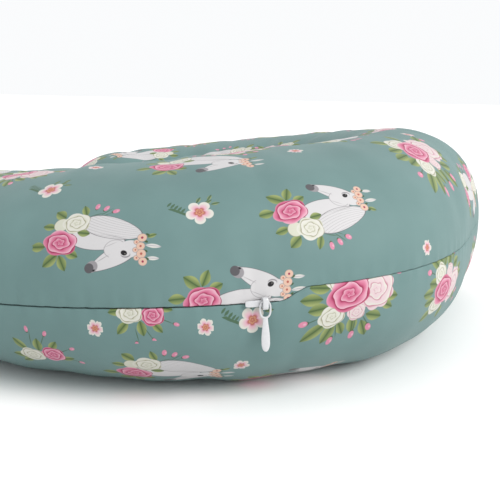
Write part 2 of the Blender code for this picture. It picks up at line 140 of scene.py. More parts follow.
arm_centre_x = ARM_X - ARM_RADIUS
back_radius = ARM_RADIUS + arm_centre_x / math.sin(JOIN_ANGLE)
back_centre_y = arm_centre_x / math.tan(JOIN_ANGLE)
zip_radius = ARM_RADIUS + ARM_HALF_WIDTH
back_y = back_centre_y - back_radius
tip_y = -ARM_RADIUS * math.cos(TIP_ANGLE)
joints = {joint["name"]: joint for joint in frame["joints"]}
seam_up = -Vector(joints["slider_travel"]["axis"]).normalized()
seam_right = Vector((1, 0, 0))
seam_axes = Matrix((seam_right, seam_up.cross(seam_right), seam_up)).transposed()
seam_origin = Vector(joints["slider_travel"]["pos_m"]) + seam_right * arm_centre_x


def ease(share):
    """0 to 1 with level ends: 3 s squared less 2 s cubed."""
    share = np.clip(share, 0.0, 1.0)
    return share * share * (3 - 2 * share)


def half_width(turn, full, taper):
    """The back's width up to the arm's at the full angle, then down to the tip's from the taper angle."""
    widened = BACK_HALF_WIDTH + (ARM_HALF_WIDTH - BACK_HALF_WIDTH) * ease(turn / full)
    return widened + (TIP_HALF_WIDTH - ARM_HALF_WIDTH) * ease((turn - taper) / (TIP_ANGLE - taper))


def signed_power(value, exponent):
    """The value's size raised to the exponent, with its sign kept: it rounds or squares a section."""
    return np.sign(value) * np.abs(value) ** exponent


def pillow_rows(steps, cap_steps):
    """Turn, forward and share of each row: evenly along the C, and then a quarter circle over each tip,
    where forward is the sine and share, which narrows and lowers the section, is the cosine."""
    turn = np.linspace(-TIP_ANGLE, TIP_ANGLE, steps)
    over = np.linspace(0, math.pi / 2, cap_steps + 1)[1:]
    turn = np.concatenate([np.full(cap_steps, -TIP_ANGLE), turn, np.full(cap_steps, TIP_ANGLE)])
    forward = np.concatenate([np.sin(over[::-1]), np.zeros(steps), np.sin(over)])
    share = np.concatenate([np.cos(over[::-1]), np.ones(steps), np.cos(over)])
    share[[0, -1]] = 0.0
    return turn[:, None], forward[:, None], share[:, None]


def pillow_point(rows, degrees, side, inset, base, drop, floor_height=0.0):
    """A layer's points. The middle line is an arc round each arm joined by one round the back; each
    section is a superellipse of the row's half width and rise, drawn in by the inset, lowered by the
    drop and set off from the seam by the base. The seam frame then tilts it, and the floor stops it."""
    turn, forward, share = rows
    bend = np.abs(turn)
    sign = np.where(turn < 0, -1.0, 1.0)
    on_back = bend < JOIN_ANGLE
    centre_x = np.where(on_back, back_radius * np.sin(bend), arm_centre_x + ARM_RADIUS * np.sin(bend))
    centre_y = np.where(on_back, back_centre_y - back_radius * np.cos(bend), -ARM_RADIUS * np.cos(bend))
    reach = signed_power(np.cos(np.radians(degrees)), ROUNDING)
    height = signed_power(np.sin(np.radians(degrees)), ROUNDING)
    outer = half_width(bend, JOIN_ANGLE, TAPER_ANGLE)
    inner = half_width(bend, INNER_FULL_ANGLE, INNER_TAPER_ANGLE)
    width = np.where(reach >= 0, outer, inner) - inset
    climb = np.where(turn < 0, ease((ZIP_CLOSED_ANGLE + turn) * zip_radius / SEAM_CLIMB),
                     1 - ease(turn / JOIN_ANGLE))
    lift = SEAM_LIFT * climb
    rise = BACK_RISE + (TIP_RISE - BACK_RISE) * (centre_y - back_y) / (tip_y - back_y)
    rise = rise * (1 if side > 0 else UNDERSIDE_SHARE) - side * lift
    x = sign * centre_x + np.cos(turn) * sign * width * forward + np.sin(turn) * width * share * reach
    y = centre_y + np.sin(turn) * sign * width * forward - np.cos(turn) * width * share * reach
    z = lift + side * (base + (rise - drop) * share * height)
    points = np.stack(np.broadcast_arrays(x, y, z), axis=-1)
    points = points @ np.array(seam_axes).T + np.array(seam_origin)
    above = points[..., 2] - floor_height
    blended = (above + PRESS_BLEND) ** 2 / (4 * PRESS_BLEND)
    above = np.where(above < -PRESS_BLEND, 0.0, np.where(above < PRESS_BLEND, blended, above))
    points[..., 2] = floor_height + above
    return points


def ripples(turn, wave, phase):
    """A slow sum of three sines along the seam, between -1 and 1, that doesn't repeat in sight."""
    s = turn * zip_radius / wave * math.tau
    return (np.sin(s + phase) + 0.6 * np.sin(1.73 * s + 2.1 * phase) + 0.4 * np.sin(0.47 * s + 1.0)) / 2


GATHER_DEPTH, GATHER_WAVE, GATHER_FADE = 0.55 * MM, 11 * MM, 7 * MM
HOLLOW_DEPTH, HOLLOW_WAVE, HOLLOW_CROSS_WAVE, HOLLOW_FADE = 1.1 * MM, 95 * MM, 61 * MM, 18 * MM
FOLD_DEPTH_BELOW, FOLD_DEPTH_ABOVE = 1.5 * MM, 0.5 * MM
FOLDS_PER_RADIAN, FOLD_TURN, FOLD_SPREAD = 11, 0.55, 0.65
FOLD_START, FOLD_RISE, FOLD_FADE = 4 * MM, 6 * MM, 26 * MM
PINCH_DEPTH, PINCH_OFFSET, PINCH_LENGTH, PINCH_HEIGHT = 1.1 * MM, 1 * MM, 6 * MM, 34 * MM
PINCH_ABOVE = 0.4


def cloth_give(turn, degrees, side):
    """How far the cloth lies inside its ideal shape. Gathers at both seams and slow hollows in the
    filling are ripples that fade in or out as an exponential of the distance from the seam. Stress
    folds are a cosine of the angle round the slider, and a pinch under it is a bell curve."""
    from_seam = np.minimum(degrees, 180 - degrees) * math.radians(90) * MM
    gathers = GATHER_DEPTH * (0.6 + ripples(turn, GATHER_WAVE, side * 0.7))
    gathers = gathers * np.exp(-from_seam / GATHER_FADE)
    slow = ripples(turn, HOLLOW_WAVE, 1.3) * np.sin(np.radians(degrees * 2 + 40 * side)) \
        + 0.7 * ripples(turn, HOLLOW_CROSS_WAVE, 4.0 * side) * np.sin(np.radians(degrees * 3.1 + 25))
    give = gathers + HOLLOW_DEPTH * slow * (1 - np.exp(-from_seam / HOLLOW_FADE))
    along = (turn + SLIDER_ANGLE) * zip_radius
    spread = np.arctan2(-along, from_seam + FOLD_START)
    distance = np.hypot(along, from_seam)
    fan = np.cos(spread * FOLDS_PER_RADIAN - 0.6) * np.exp(-((spread - FOLD_TURN) / FOLD_SPREAD) ** 2)
    fan = fan * np.exp(-distance / FOLD_FADE) * (1 - np.exp(-distance / FOLD_RISE))
    pinch = PINCH_DEPTH * np.exp(-((along + PINCH_OFFSET) / PINCH_LENGTH) ** 2
                                 - (from_seam / PINCH_HEIGHT) ** 2)
    if side < 0:
        return give + FOLD_DEPTH_BELOW * fan + pinch
    return give + FOLD_DEPTH_ABOVE * fan + PINCH_ABOVE * pinch


def shell_mesh(name, points, uv=None):
    """A skin over a grid of points: rows along the C, and columns round the section and back to the
    first. Both end rows lie on a line."""
    rows, columns = points.shape[:2]
    index = np.arange(rows * columns).reshape(rows, columns)
    right = np.roll(index, -1, axis=1)
    faces = np.stack([index[:-1], index[1:], right[1:], right[:-1]], axis=-1).reshape(-1, 4)
    mesh = bpy.data.meshes.new(name)
    mesh.from_pydata(points.reshape(-1, 3), [], faces.tolist())
    if uv is not None:
        layer = mesh.uv_layers.new(name="cloth")
        layer.data.foreach_set("uv", uv.reshape(-1, 2)[faces].astype(np.float32).ravel())
    return mesh, faces


def close_poles(mesh):
    """Merges the points that fall together, as they do on the line at each tip."""
    work = bmesh.new()
    work.from_mesh(mesh)
    bmesh.ops.remove_doubles(work, verts=work.verts, dist=0.002 * MM)
    work.to_mesh(mesh)
    work.free()


def add_piece(name, mesh, body="pillow", smooth=True):
    """An object at the origin that shows the mesh and rides on a body."""
    close_poles(mesh)
    if smooth:
        mesh.shade_smooth()
    piece = bpy.data.objects.new(name, mesh)
    bpy.context.scene.collection.objects.link(piece)
    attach(piece, body)
    return piece


cover_rows = pillow_rows(560, 34)


def cover_points(side):
    """The panel from its outer allowance over the crown to its inner allowance, and back inside it,
    with the number of outside columns. Each seam edge is a small quarter round, and the gap under it
    is wider along the zipper."""
    turn = cover_rows[0]
    zipped = ease((-turn - ZIP_CLOSED_ANGLE) * zip_radius / ZIP_GAP_CLIMB)
    zipped = zipped * ease((ZIP_OPEN_ANGLE + turn) * zip_radius / ZIP_GAP_CLIMB)
    gap = SEWN_GAP + (ZIP_GAP - SEWN_GAP) * zipped
    bow = np.radians(np.array([0, 20, 42, 66]))
    edge_inset = np.concatenate([[SEAM_ALLOWANCE, 3 * MM], SEAM_ROLL * (1 - np.sin(bow))])
    edge_base = np.concatenate([[0, 0], SEAM_ROLL * (1 - np.cos(bow))])
    skin = np.linspace(0, 180, SKIN_COLUMNS)
    degrees = np.concatenate([np.zeros(EDGE_COLUMNS), skin, np.full(EDGE_COLUMNS, 180.0)])
    inset = np.concatenate([edge_inset, np.zeros(SKIN_COLUMNS), edge_inset[::-1]])
    base = np.concatenate([edge_base, np.full(SKIN_COLUMNS, SEAM_ROLL), edge_base[::-1]])
    give = cloth_give(turn, degrees[None, :], side)
    outside = pillow_point(cover_rows, degrees, side, inset + give, gap + base, SEAM_ROLL + give)
    back = np.concatenate([np.linspace(180, 36, 12), np.linspace(36, 0, 26)[1:]])
    give_back = cloth_give(turn, back[None, :], side)
    inside = pillow_point(cover_rows, back, side, 1.1 * CLOTH + give_back, gap + CLOTH,
                          2.1 * CLOTH + give_back, CLOTH)
    return np.concatenate([outside, inside], axis=1), degrees.size


def arc_lengths(points, columns):
    """Cloth coordinates in metres: along the outer edge from the left arm's tip, and across from that edge.
    """
    outside = points[:, :columns]
    steps = np.linalg.norm(np.diff(outside[:, EDGE_COLUMNS], axis=0), axis=1)
    along = np.concatenate([[0], np.cumsum(steps)])
    across = np.linalg.norm(np.diff(points, axis=1), axis=2)
    across = np.concatenate([np.zeros((len(points), 1)), np.cumsum(across, axis=1)], axis=1)
    return np.stack([np.broadcast_to(along[:, None], across.shape), across], axis=-1)


# The print: white horse heads with a bouquet, larger bouquets and loose blossoms, on dusty teal. It is
# drawn in each motif's own millimetres: x up the motif, which lies along the C, and y across it.
DYE_SHARE = 0.66


def ink(red, green, blue):
    """A colour from the usual 0 to 255 values, made linear and taken at DYE_SHARE for the bright studio."""
    values = np.array([red, green, blue]) / 255
    linear = np.where(values > 0.04045, ((values + 0.055) / 1.055) ** 2.4, values / 12.92)
    return (*(DYE_SHARE * linear).tolist(), 1.0)


PINK_DEEP, PINK_MID = ink(166, 48, 88), ink(214, 104, 142)
PINK_LIGHT, PINK_PALE = ink(232, 146, 174), ink(242, 186, 204)
CREAM, CREAM_LINE, IVORY = ink(226, 226, 208), ink(168, 164, 138), ink(236, 234, 224)
BLUSH, BLUSH_LINE = ink(238, 214, 218), ink(206, 142, 160)
LEAF_DARK, LEAF_MID, LEAF_LIGHT = ink(72, 98, 58), ink(112, 134, 80), ink(164, 176, 112)
HORSE_WHITE, HORSE_SHADE, HORSE_LINE = ink(226, 224, 225), ink(158, 154, 158), ink(104, 100, 106)
MUZZLE, MUZZLE_PALE, DARK, PEACH = ink(98, 96, 100), ink(164, 160, 164), ink(30, 28, 32), ink(238, 200, 178)
STEM, CENTRE, CENTRE_PALE = ink(84, 116, 92), ink(190, 104, 92), ink(226, 168, 130)
EDGE = 0.28
# How far a drawn outline reaches past its shape, in EDGEs
OUTLINE = 0.9
STEM_HALF_WIDTH = 0.42


class Finish:
    """A material made up from nodes: bands of colour, and inks laid one over another. A shape of the
    print is a mask, which is 1 inside and fades to 0 over EDGE millimetres at its outline."""

    def __init__(self, name, fixed):
        self.made = bpy.data.materials.new(name)
        self.made.use_nodes = True
        self.tree = self.made.node_tree
        self.surface = self.tree.nodes["Principled BSDF"]
        for socket, value in fixed.items():
            self.surface.inputs[socket].default_value = value
        self.colour = None
        self.place = None

    def maths(self, operation, *values, clamp=False):
        node = self.tree.nodes.new("ShaderNodeMath")
        node.operation = operation
        node.use_clamp = clamp
        for socket, value in zip(node.inputs, values):
            if isinstance(value, (int, float)):
                socket.default_value = value
            else:
                self.tree.links.new(value, socket)
        return node.outputs[0]

    def own_map(self, name):
        """The place on one of the piece's own UV maps."""
        node = self.tree.nodes.new("ShaderNodeUVMap")
        node.uv_map = name
        return node.outputs[0]

    def object_place(self):
        return self.tree.nodes.new("ShaderNodeTexCoord").outputs["Object"]

    def noise(self, place, scale, detail):
        node = self.tree.nodes.new("ShaderNodeTexNoise")
        node.inputs["Scale"].default_value = scale
        node.inputs["Detail"].default_value = detail
        self.tree.links.new(place, node.inputs["Vector"])
        return node.outputs["Fac"]

    def bump(self, height, strength, distance):
        node = self.tree.nodes.new("ShaderNodeBump")
        node.inputs["Strength"].default_value = strength
        node.inputs["Distance"].default_value = distance
        self.tree.links.new(height, node.inputs["Height"])
        self.tree.links.new(node.outputs[0], self.surface.inputs["Normal"])

    def local(self, x, y, half_long, half_wide, turn):
        """The place seen from a shape: its centre at 0, turned, with its half sizes as 1."""
        node = self.tree.nodes.new("ShaderNodeMapping")
        node.vector_type = "TEXTURE"
        node.inputs["Location"].default_value = (x, y, 0)
        node.inputs["Rotation"].default_value = (0, 0, math.radians(turn))
        node.inputs["Scale"].default_value = (half_long, half_wide, 1)
        self.tree.links.new(self.place, node.inputs["Vector"])
        return node.outputs[0]

    def length(self, vector):
        node = self.tree.nodes.new("ShaderNodeVectorMath")
        node.operation = "LENGTH"
        self.tree.links.new(vector, node.inputs[0])
        return node.outputs["Value"]

    def parts(self, vector):
        node = self.tree.nodes.new("ShaderNodeSeparateXYZ")
        self.tree.links.new(vector, node.inputs[0])
        return node.outputs[0], node.outputs[1]

    def lay(self, mask, colour):
        node = self.tree.nodes.new("ShaderNodeMix")
        node.data_type = "RGBA"
        self.tree.links.new(mask, node.inputs[0])
        for socket, value in ((node.inputs[6], self.colour), (node.inputs[7], colour)):
            if isinstance(value, tuple):
                socket.default_value = value
            else:
                self.tree.links.new(value, socket)
        self.colour = node.outputs[2]

    def ramp(self, value, stops):
        node = self.tree.nodes.new("ShaderNodeValToRGB")
        band = node.color_ramp
        band.elements[0].position, band.elements[0].color = stops[0]
        band.elements[1].position, band.elements[1].color = stops[-1]
        for position, colour in stops[1:-1]:
            band.elements.new(position).color = colour
        self.tree.links.new(value, node.inputs[0])
        return node.outputs[0]

    def mask(self, r, half_size, wider=0.0):
        """Inside where r stays under 1, or under a little more where it is wider, as for an outline."""
        sharp = half_size / EDGE
        return self.maths("MULTIPLY_ADD", r, -sharp, sharp + wider, clamp=True)

    def oval(self, x, y, half_long, half_wide, turn, colour, outline=None):
        """Inside where the length of the local place is under 1."""
        r = self.length(self.local(x, y, half_long, half_wide, turn))
        smaller = min(half_long, half_wide)
        if outline:
            self.lay(self.mask(r, smaller, OUTLINE), outline)
        self.lay(self.mask(r, smaller), colour)

    def leaf(self, x, y, half_long, half_wide, turn, tones=(LEAF_LIGHT, LEAF_MID, LEAF_DARK)):
        """Inside where y stays under 1 less x squared: a pointed oval, with a dark rib and two tones."""
        x, y = self.parts(self.local(x, y, half_long, 1.25 * half_wide, turn))
        bound = self.maths("MULTIPLY_ADD", self.maths("MULTIPLY", x, x), -1.0, 1.0)
        inside = self.maths("SUBTRACT", bound, self.maths("ABSOLUTE", y))
        light, middle, dark = tones
        across = self.maths("MULTIPLY_ADD", y, 0.5, 0.5)
        tone = self.ramp(across, [(0.0, light), (0.4, middle), (0.5, dark), (0.56, middle), (0.85, light)])
        self.lay(self.maths("MULTIPLY", inside, half_wide / EDGE, clamp=True), tone)

    def rose(self, x, y, half_long, half_wide, turn, tones, petals=2.5):
        """The petals are bands of a spiral, whose phase is the whole turns of radius plus angle, wavy by
        a sine of the angle. Each runs from a pale edge to a deep fold, and the rim is scalloped."""
        place = self.local(x, y, half_long, half_wide, turn)
        r = self.length(place)
        across, up = self.parts(place)
        angle = self.maths("ARCTAN2", up, across)
        scallop = self.maths("ABSOLUTE", self.maths("SINE", self.maths("MULTIPLY", angle, petals)))
        rim = self.maths("MULTIPLY", r, self.maths("MULTIPLY_ADD", scallop, -0.15, 1.12))
        wave = self.maths("SINE", self.maths("MULTIPLY_ADD", angle, 5.0, self.maths("MULTIPLY", r, 8.0)))
        turns = self.maths("MULTIPLY", angle, 1 / math.tau)
        spiral = self.maths("MULTIPLY_ADD", self.maths("POWER", r, 0.8), 3.3, turns)
        spiral = self.maths("FRACT", self.maths("MULTIPLY_ADD", wave, 0.13, spiral))
        deep, middle, pale, edge = tones
        bands = [(0.0, deep), (0.08, deep), (0.26, middle), (0.6, pale), (0.9, edge), (1.0, edge)]
        petal = self.ramp(spiral, bands)
        inside = self.mask(rim, min(half_long, half_wide))
        self.lay(inside, petal)
        heart = self.maths("MULTIPLY_ADD", r, -1.2, 0.62, clamp=True)
        self.lay(self.maths("MULTIPLY", heart, inside), middle)

    def egg(self, x, y, half_long, half_wide, turn, narrow, colour, outline=None, strands=0):
        """An oval whose width shrinks towards its front, as 1 less a share of its length. Strands are
        thin lines along it, where the whole turns of the width coordinate start again."""
        along, over = self.parts(self.local(x, y, half_long, half_wide, turn))
        over = self.maths("DIVIDE", over, self.maths("MULTIPLY_ADD", along, -narrow, 1.0))
        square = self.maths("MULTIPLY_ADD", along, along, self.maths("MULTIPLY", over, over))
        r = self.maths("SQRT", square)
        smaller = min(half_long, half_wide)
        inside = self.mask(r, smaller)
        if outline:
            self.lay(self.mask(r, smaller, OUTLINE), outline)
        self.lay(inside, colour)
        if strands:
            bent = self.maths("MULTIPLY_ADD", self.maths("MULTIPLY", along, along), 0.3, over)
            lines = self.maths("FRACT", self.maths("MULTIPLY", bent, strands))
            lines = self.maths("MULTIPLY_ADD", lines, -6.0, 1.0, clamp=True)
            self.lay(self.maths("MULTIPLY", lines, inside), HORSE_SHADE)

    def blossom(self, x, y, radius, petals, turn):
        """Petals where the radius stays under a rounded cosine of the angle; white, blushing inwards."""
        place = self.local(x, y, radius, radius, turn)
        r = self.length(place)
        across, up = self.parts(place)
        lobe = self.maths("COSINE", self.maths("MULTIPLY", self.maths("ARCTAN2", up, across), petals / 2))
        lobe = self.maths("POWER", self.maths("ABSOLUTE", lobe), 0.55)
        rim = self.maths("DIVIDE", r, self.maths("MULTIPLY_ADD", lobe, 0.42, 0.58))
        bands = [(0.0, CENTRE_PALE), (0.14, CENTRE), (0.24, CENTRE_PALE), (0.34, CENTRE),
                 (0.5, PINK_PALE), (0.85, IVORY)]
        self.lay(self.mask(rim, radius), self.ramp(rim, bands))

    def bud(self, x, y, turn, size=1.25):
        """A bud on its sepals, pointing along its turn."""
        back = math.radians(turn)
        self.oval(x - 1.3 * size * math.cos(back), y - 1.3 * size * math.sin(back),
                  1.1 * size, 0.9 * size, turn, LEAF_DARK)
        self.oval(x, y, 1.9 * size, 1.25 * size, turn, PINK_LIGHT)
        self.oval(x + 0.6 * size, y, 0.7 * size, 0.5 * size, turn, PINK_PALE)

    def stem(self, x, y, half_long, turn):
        self.oval(x, y, half_long, STEM_HALF_WIDTH, turn, STEM)

    def leaves(self, *leaves):
        for leaf in leaves:
            self.leaf(*leaf)

    def stems(self, *stems):
        for stem in stems:
            self.stem(*stem)

    def buds(self, *buds, size=1.25):
        for bud in buds:
            self.bud(*bud, size)


PINK_ROSE = (PINK_DEEP, PINK_MID, PINK_LIGHT, PINK_PALE)
CREAM_ROSE = (CREAM_LINE, CREAM, IVORY, IVORY)
BLUSH_ROSE = (BLUSH_LINE, BLUSH, BLUSH, IVORY)


def draw_horse(ground):
    """A horse's head and neck with combed mane, a wreath of blossoms, and roses at the neck."""
    ground.leaves((-36, 3.5, 5.2, 2.6, 5), (-30, -9, 4.6, 2.1, 10), (-24, -17, 4.6, 2.8, 35),
                  (-9, -19, 4.6, 2.0, 70), (-27, 12.5, 6, 2.9, -35), (-19.5, 14.5, 5.2, 2.5, 65),
                  (-14, 9.5, 4.8, 2.4, 25), (33, -1, 3.2, 1.2, -20))
    ground.stems((2, -14.5, 7, -22), (4, -17.5, 5.5, -38), (-1, -16, 5, -12))
    ground.buds((-2.3, -22, -80), (3.5, -20.4, -55), (9.8, -18, -20))
    # Neck, then the combed mane along its crest
    ground.egg(1, 1.2, 17, 6.4, 6, 0.12, HORSE_WHITE, HORSE_LINE)
    ground.egg(9.4, -6.2, 18.6, 6.9, 15, 0.22, HORSE_WHITE, HORSE_LINE, 4.6)
    ground.oval(12, -0.4, 12, 0.24, 12, HORSE_LINE)
    # Head: an egg that narrows to the muzzle, with a round cheek and two lines that shade it
    ground.egg(11.2, 12.0, 15.6, 5.3, 153, 0.32, HORSE_WHITE, HORSE_LINE)
    ground.oval(12.2, 7.0, 6.4, 5.3, -12, HORSE_WHITE, HORSE_SHADE)
    ground.oval(20.6, 7.0, 7.0, 5.2, -8, HORSE_WHITE)
    ground.oval(14.0, 11.6, 7.5, 2.6, -26, HORSE_WHITE)
    ground.oval(9.4, 4.6, 5.8, 0.26, -24, HORSE_SHADE)
    ground.oval(5.4, 12.6, 5.5, 0.3, -30, HORSE_SHADE)
    # Muzzle and nostril
    ground.egg(-1.2, 17.2, 4.0, 3.3, 155, 0.1, MUZZLE_PALE)
    ground.oval(-2.6, 17.9, 2.9, 2.9, -30, MUZZLE)
    ground.oval(0.2, 19.2, 1.1, 0.65, -30, DARK)
    # Eye under its lid, with a glint, then the ears
    ground.oval(18.6, 10.4, 3.0, 1.9, 0, HORSE_SHADE)
    ground.oval(18.4, 9.9, 2.9, 1.6, 0, HORSE_WHITE)
    ground.oval(17.6, 9.4, 2.1, 1.6, 20, DARK)
    ground.oval(18.3, 9.9, 0.35, 0.28, 30, IVORY)
    ground.leaf(34.2, 5.2, 5.0, 1.1, 5, (IVORY, HORSE_WHITE, HORSE_SHADE))
    ground.leaf(34.2, 12.3, 4.2, 1.0, 0, (IVORY, HORSE_WHITE, HORSE_SHADE))
    # The wreath: small leaves, small blossoms and round ones
    for x, y in ((25.2, 2.8), (30, 2.6), (24.6, 8), (30, 8.2), (26, 12.2), (31, 12.6), (30.6, -1.6)):
        ground.oval(x, y, 1.5, 0.8, 25, LEAF_DARK)
    for x, y in ((24.6, 3.0), (24.2, 7.6), (25.0, 12.2)):
        ground.oval(x, y, 1.7, 1.5, 0, PEACH, HORSE_SHADE)
        ground.oval(x, y, 0.6, 0.6, 0, CENTRE)
    for x, y, radius, heart in ((27.6, 0.3, 2.5, PINK_DEEP), (27.0, 5.4, 2.3, CENTRE),
                                (27.6, 9.8, 2.5, CENTRE), (28.6, 14.2, 2.3, PINK_DEEP)):
        ground.oval(x, y, 1.1 * radius, radius, 0, PEACH, HORSE_SHADE)
        ground.oval(x, y, radius * 0.35, radius * 0.35, 0, heart)
    # Roses at the foot of the neck
    ground.oval(-22.4, -9.6, 4.6, 4.4, 0, CREAM, CREAM_LINE)
    ground.rose(-13.0, -10.4, 8.8, 7.2, 0, CREAM_ROSE)
    ground.leaf(-7.6, -3.2, 4.2, 2.0, 8)
    ground.rose(-21.5, 2.2, 11.2, 8.0, 12, PINK_ROSE)


def draw_bouquet(ground):
    """A full bouquet: a pink rose between cream ones, a pale peony, leaves, buds and stems."""
    ground.leaves((-15, -13, 5.2, 2.4, 35), (-22, 0, 5.6, 2.4, 0), (20, 3, 5, 2.2, 10),
                  (-12, 17, 6, 2.6, 110), (7, 17, 5.4, 2.2, 60), (-18, -5, 5.4, 2.3, 5),
                  (-18.5, 4.6, 5.2, 2.5, -8), (-19, 15.6, 7.4, 2.5, -40), (0, 14, 5, 2.4, 80),
                  (11, 11, 5, 2.3, 15), (-6, 15, 4.2, 2, 60), (21.5, -9, 4.6, 2.2, -30),
                  (18, 7, 4.4, 1.8, 25), (2, -14, 4.6, 2.2, -70))
    ground.stems((-8, 16, 5, 75), (1.5, 15, 5, 85), (7, 13, 5, 50), (25, -11, 6, -28), (-21, 10, 4.5, -20))
    ground.buds((-9.5, 21.5, 100), (1.6, 20, 85), (9.8, 17, 55), (30.5, -14, -30), (25.5, -7.2, 10),
                (-25, 11, 170))
    ground.rose(-7.5, -7.6, 8.0, 6.0, 0, CREAM_ROSE)
    ground.rose(11.0, -1.2, 10.8, 9.6, 0, BLUSH_ROSE, 4.5)
    ground.rose(-11.5, 8.6, 7.0, 5.6, -15, CREAM_ROSE)
    ground.rose(1.0, 8.0, 5.0, 4.2, 0, BLUSH_ROSE)
    ground.rose(-3.6, -1.0, 11.6, 8.0, -12, PINK_ROSE)


def draw_pair(ground):
    """A cream and a pink rose side by side, leaves outside them and four buds on long stems."""
    ground.leaves((-14, -2, 5.4, 2.3, -10), (-11, 8, 5.6, 2.3, -50), (0, 8.5, 5.2, 2.4, 80),
                  (9, 8, 4.6, 2.0, 50), (14, -3, 4.6, 1.8, 10), (-12, -7, 4.4, 2.0, 30))
    ground.stems((-3, 13, 6, 80), (4, 12, 5, 60), (14, 4, 6, 25), (17, -4, 5, -20))
    ground.buds((-3.8, 18.6, 95), (6.8, 16.4, 60), (20, 6.4, 20), (21.5, -6, -20), size=1.0)
    ground.rose(6.6, 0.6, 7.2, 6.6, 0, PINK_ROSE)
    ground.rose(-6.4, -0.8, 7.8, 6.4, 0, CREAM_ROSE)


def draw_sprig(ground):
    """One open blossom with a fern sprig on one side and narrow leaves on the other."""
    for step in range(5):
        ground.leaf(-9.4 - 1.9 * step, -1.6 - 1.3 * step, 2.5, 0.75, -50, (STEM, STEM, LEAF_DARK))
        ground.leaf(-8.2 - 1.9 * step, 1.2 - 1.0 * step, 2.5, 0.75, 10, (STEM, STEM, LEAF_DARK))
    ground.stem(-12, -1.6, 7, 30)
    for x, y, turn in ((5.5, -7.2, -35), (9.5, -5.6, -10), (0, -9.2, -60), (6.5, -10.5, -60)):
        ground.leaf(x, y, 3.0, 1.0, turn, (LEAF_LIGHT, STEM, LEAF_DARK))
    ground.stem(3.4, -6.5, 5.5, -50)
    ground.blossom(0, 0, 8.4, 5, 18)


def draw_blossom(ground):
    """A small loose blossom."""
    ground.blossom(0, 0, 5.6, 6, 10)


THREAD_PITCH = 0.5 * MM
CLOTH_TONES = [(0.3, ink(115, 148, 146)), (0.7, ink(122, 155, 153))]


def printed_cloth(name, draw=None):
    """Teal microfibre: the print, a fine over-and-under weave from the cloth's own coordinates as bump,
    and the soft sheen of brushed threads."""
    finish = Finish(name, {"Roughness": 0.62, "Specular IOR Level": 0.28, "Sheen Weight": 0.07,
                           "Sheen Roughness": 0.45})
    cloth = finish.own_map("cloth")
    finish.colour = finish.ramp(finish.noise(cloth, 26, 3), CLOTH_TONES)
    if draw:
        finish.place = finish.own_map("motif")
        draw(finish)
    finish.tree.links.new(finish.colour, finish.surface.inputs["Base Color"])
    warp, weft = (finish.maths("SINE", finish.maths("MULTIPLY", thread, math.tau / THREAD_PITCH))
                  for thread in finish.parts(cloth))
    finish.bump(finish.maths("MULTIPLY", warp, weft), 0.25, 0.05 * MM)
    return finish.made


PRINTS = [printed_cloth("teal_microfibre")]
for drawing in (draw_horse, draw_bouquet, draw_sprig, draw_blossom, draw_pair):
    PRINTS.append(printed_cloth(drawing.__name__.replace("draw", "teal_microfibre"), drawing))
HORSE, BOUQUET, SPRIG, BLOSSOM, PAIR = range(1, 6)
REACH = {HORSE: 42, BOUQUET: 36, SPRIG: 21, BLOSSOM: 7, PAIR: 25}
# The place given to a face outside every motif, in millimetres
OFF_THE_PRINT = 500.0


def change_places(step, first, second):
    """Two motifs in this order at an odd step, and in the other order at an even one."""
    return (first, second) if step % 2 else (second, first)


# Where the motifs fall: kind, turn in degrees, millimetres up or down from the outer seam, 1 or -1 when
# it is mirrored, and its scale. The left arm and the back have places of their own, and the right arm
# and the inner side follow a plain repeat.
TOP_MOTIFS = [
    (HORSE, -80.5, 41, 1, 1), (HORSE, -64.5, 115, 1, 1), (HORSE, -47, 43, -1, 1), (HORSE, -61, 1, -1, 1),
    (BOUQUET, -17.5, 76, 1, 1.6), (BOUQUET, -108, 112, 1, 1.2), (PAIR, -137, 10, -1, 1),
    (SPRIG, -66, 56, 1, 1), (BLOSSOM, -43.6, 114, 1, 1), (BLOSSOM, -31.7, 9.5, 1, 1),
    (BLOSSOM, -88, 120, 1, 1), (BOUQUET, -54, 147, 1, 1), (HORSE, 2, 30, 1, 1), (HORSE, -120, 48, -1, 1),
    (HORSE, -138, 110, 1, 1), (BOUQUET, -140, 36, 1, 1), (SPRIG, -92, 80, 1, 1), (HORSE, -92, 168, -1, 1),
]
for step in range(6):
    near, far = change_places(step, (BOUQUET, 1), (HORSE, -1))
    TOP_MOTIFS.append((near[0], 14 + 25 * step, 42, near[1], 1))
    TOP_MOTIFS.append((far[0], 18 + 25 * step, 128, -far[1], 1))
    TOP_MOTIFS.append((SPRIG if step % 2 else BLOSSOM, 27 + 25 * step, 84, 1, 1))
for step in range(9):
    mirror = 1 if step % 4 < 2 else -1
    TOP_MOTIFS.append((HORSE if step % 2 else BOUQUET, -138 + 34.5 * step, 196, mirror, 1))
    TOP_MOTIFS.append((BLOSSOM, -121 + 34.5 * step, 205, 1, 1))
TOP_MOTIFS += [(HORSE, 171, 62, 1, 1), (BOUQUET, -170, 66, 1, 1.1), (HORSE, -26, 138, -1, 1),
               (BLOSSOM, -6, 96, 1, 1), (BOUQUET, -3, 150, 1, 1)]
BOTTOM_MOTIFS = [
    (BOUQUET, -44.5, 7, 1, 1.35), (BOUQUET, -24.5, 20, -1, 1.35), (PAIR, -74.6, 2.5, 1, 1),
    (SPRIG, -59.5, 9, 1, 1), (PAIR, -90.4, 35, -1, 1.1), (HORSE, -71, 52, 1, 1),
    (BLOSSOM, -81, 11.4, 1, 1), (BLOSSOM, -66.1, 11.8, 1, 1), (BLOSSOM, -60.5, 44, 1, 1),
    (HORSE, -50, 90, -1, 1), (HORSE, -112, 28, 1, 1), (BOUQUET, -130, 40, -1, 1),
]
